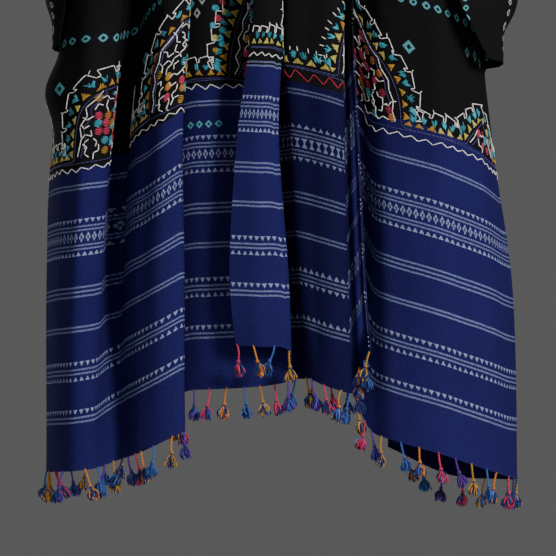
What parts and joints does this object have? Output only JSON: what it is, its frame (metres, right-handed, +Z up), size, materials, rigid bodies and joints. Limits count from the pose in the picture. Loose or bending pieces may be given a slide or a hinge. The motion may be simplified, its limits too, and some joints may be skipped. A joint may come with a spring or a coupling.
{
  "type": "shawl",
  "caption": "Hand-woven wool shawl worn over both shoulders, with patterned blue ends hanging in front, an embroidered border and tasselled hems.",
  "frame": {"origin": "between the shoulder tops at the sides of the neck, where the wearer's shoulders hold the shawl", "axes": "+X to the wearer's left, +Y to the wearer's back, +Z up"},
  "size_m": [0.6749, 0.3616, 1.1209],
  "materials": {
    "field_wool": "matt black wool with tie-dyed dots",
    "end_wool": "matt royal blue wool with pale woven bands",
    "end_wool_reverse": "reverse of the blue wool",
    "tassel_wool": "twisted wool yarn in several colours",
    "embroidery_thread": "soft chain-stitch thread in several colours"
  },
  "bodies": {
    "root": {"right_arm_drape": "field_wool", "back": "field_wool", "left_arm_drape": "field_wool", "right_front_strip": "end_wool", "right_front_strip_fringe": "tassel_wool", "right_inner_front": "end_wool", "right_inner_front_fringe": "tassel_wool", "right_outer_front": "end_wool", "right_outer_front_fringe": "tassel_wool", "right_side_wrap": "end_wool", "right_side_wrap_fringe": "tassel_wool", "left_lapel": "end_wool_reverse", "left_lapel_fringe": "tassel_wool", "left_under_lapel": "end_wool", "left_under_lapel_fringe": "tassel_wool", "left_outer_front": "end_wool", "left_outer_front_fringe": "tassel_wool", "left_side_wrap": "end_wool", "left_side_wrap_fringe": "tassel_wool"}
  },
  "joints": []
}
